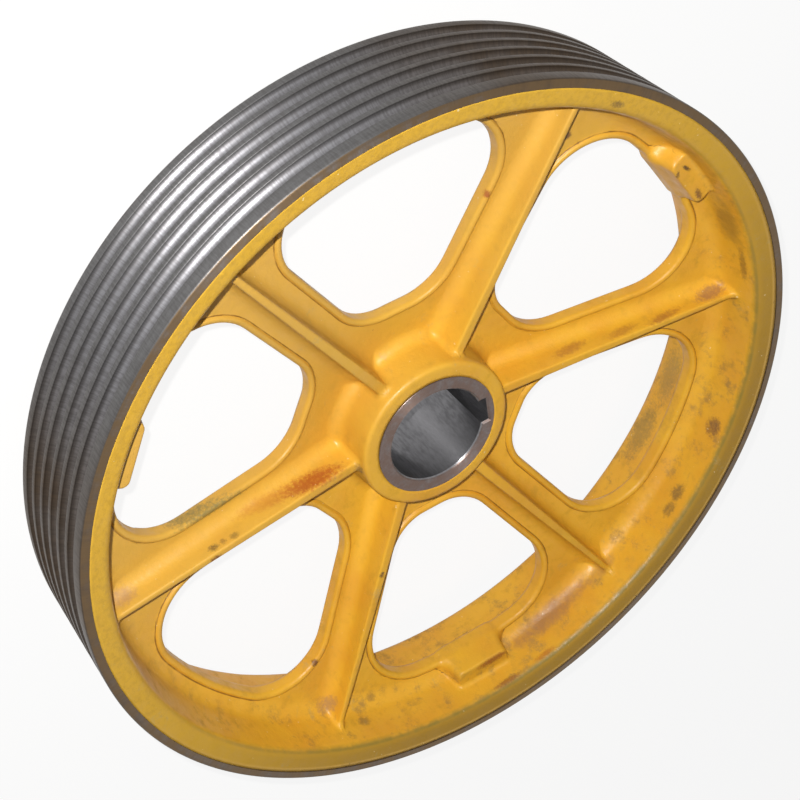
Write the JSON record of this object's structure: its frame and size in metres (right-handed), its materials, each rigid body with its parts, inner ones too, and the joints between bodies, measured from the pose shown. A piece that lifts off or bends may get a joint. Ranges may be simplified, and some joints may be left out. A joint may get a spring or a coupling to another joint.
{
  "type": "wire rope sheave",
  "caption": "Spoked cast-iron rope sheave: wide rim with parallel half-round rope grooves, dished web with ribbed spokes, keyed hub bore.",
  "frame": {"origin": "centre of the hub's rear machined face, on the axis", "axes": "+Z along the axis from the hub's rear face to the open front face; +X along a spoke; the keyway points along the spoke at 300 degrees from +X"},
  "size_m": [0.6, 0.6, 0.122],
  "materials": {
    "casting": "golden-yellow enamel on grey cast iron; the grooved rim, hub faces and bore are bare turned iron"
  },
  "bodies": {
    "root": {"sheave_casting": "casting"}
  },
  "joints": []
}
